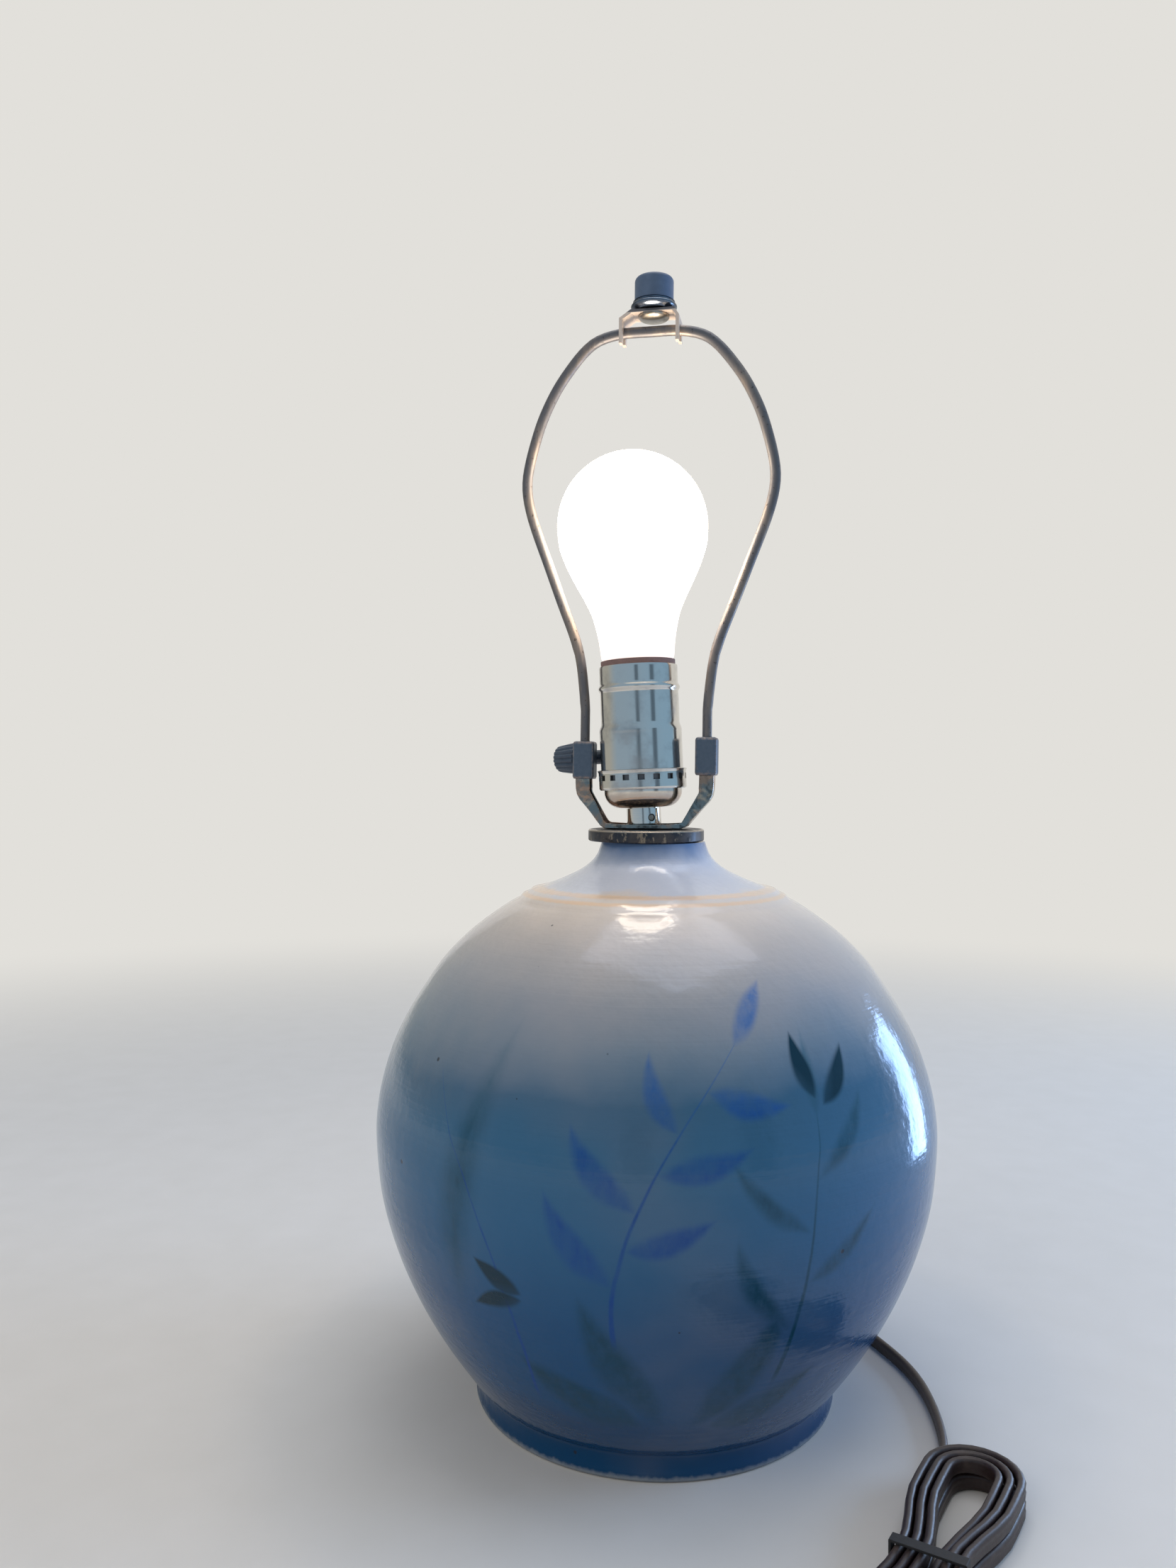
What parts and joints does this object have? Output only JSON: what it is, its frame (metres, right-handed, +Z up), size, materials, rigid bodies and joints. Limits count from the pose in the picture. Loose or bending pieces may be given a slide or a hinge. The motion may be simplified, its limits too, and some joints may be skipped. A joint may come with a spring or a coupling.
{
  "type": "table lamp",
  "caption": "Table lamp: painted pot with a brass cap, nickel socket with rotary switch, frosted bulb, lift-off harp with swivel bracket and finial, hanked flat cord.",
  "frame": {"origin": "centre of the pot's foot on the table plane", "axes": "+Z up the pot's axis, -Y is the front and the harp lies in the XZ plane"},
  "size_m": [0.2402, 0.2976, 0.4399],
  "materials": {
    "glaze": "glossy blue-grey glaze with painted sprays",
    "old_brass": "tarnished brass, mottled dark",
    "nickel": "polished nickel plate",
    "dull_nickel": "tarnished nickel plate",
    "pipe_steel": "zinc-plated steel",
    "harp_iron": "dark bronzed wire",
    "sleeve_grey": "gunmetal paint, rubbed at the edges",
    "slate": "matt slate-blue lacquer",
    "skirt_metal": "dark polished metal",
    "liner_fibre": "pinkish-brown pressed fibre",
    "phenolic": "dark moulded plastic",
    "contact_brass": "bright brass",
    "tin": "tinned screw",
    "black_plastic": "black moulded plastic",
    "black_rubber": "matt black rubber",
    "brown_cord": "dark brown flexible sheath",
    "frosted_glass": "inside-frosted glass, lit",
    "clear_glass": "clear glass",
    "base_aluminium": "bright rolled aluminium",
    "base_glass": "black glass insulator",
    "tungsten": "drawn wire"
  },
  "bodies": {
    "lamp": {"ceramic_body": "glaze", "neck_disc": "old_brass", "lamp_pipe": "pipe_steel", "pipe_bottom_washer": "black_rubber", "pipe_bottom_nut": "pipe_steel", "harp_saddle": "dull_nickel", "cap_hub": "nickel", "cap_set_screw": "pipe_steel", "socket_cap": "nickel", "socket_shell": "nickel", "socket_liner": "liner_fibre", "socket_interior": "phenolic", "socket_screw_shell": "contact_brass", "centre_contact": "contact_brass", "terminal_screw_hot": "contact_brass", "terminal_screw_neutral": "tin", "cord_grommet": "black_rubber", "inner_lead": "black_rubber", "cord_lead": "brown_cord", "cord_hank": "brown_cord", "cord_tail": "brown_cord", "cord_tie": "black_plastic", "plug_body": "black_plastic", "plug_blade_left": "pipe_steel", "plug_blade_right": "pipe_steel"},
    "switch": {"switch_shaft": "black_plastic", "switch_knob": "black_plastic"},
    "bulb": {"bulb_envelope": "frosted_glass", "bulb_screw_base": "base_aluminium", "bulb_base_insulator": "base_glass", "bulb_tip_contact": "base_aluminium", "bulb_stem": "clear_glass", "bulb_filament": "tungsten"},
    "harp": {"harp_bow": "harp_iron"},
    "sleeve_left": {"sleeve_left": "sleeve_grey"},
    "sleeve_right": {"sleeve_right": "sleeve_grey"},
    "bracket": {"harp_bracket": "dull_nickel", "bracket_stud": "pipe_steel"},
    "finial": {"finial_base": "skirt_metal", "finial_cap": "slate"}
  },
  "joints": [
    {"name": "switch_turn", "type": "hinge", "parent": "lamp", "child": "switch", "pos_m": [-0.00471, 0, 0.24858], "axis": [-0.9264, 0.3746, -0.0372], "continuous": true},
    {"name": "bulb_out", "type": "slide", "parent": "lamp", "child": "bulb", "axis": [-0.0401, 0, 0.9992], "range_m": [0, 0.03]},
    {"name": "harp_lift", "type": "slide", "parent": "lamp", "child": "harp", "axis": [0.0131, 0, 0.9999], "range_m": [0, 0.012]},
    {"name": "sleeve_left_lift", "type": "slide", "parent": "harp", "child": "sleeve_left", "axis": [0.0131, 0, 0.9999], "range_m": [0, 0.01]},
    {"name": "sleeve_right_lift", "type": "slide", "parent": "harp", "child": "sleeve_right", "axis": [0.0131, 0, 0.9999], "range_m": [0, 0.01]},
    {"name": "bracket_tilt", "type": "hinge", "parent": "harp", "child": "bracket", "pos_m": [-0.00102, 0, 0.41677], "axis": [0.9999, 0, -0.0131], "range_deg": [-20, 20]},
    {"name": "finial_off", "type": "slide", "parent": "bracket", "child": "finial", "axis": [0.0131, 0, 0.9999], "range_m": [0, 0.012]}
  ]
}
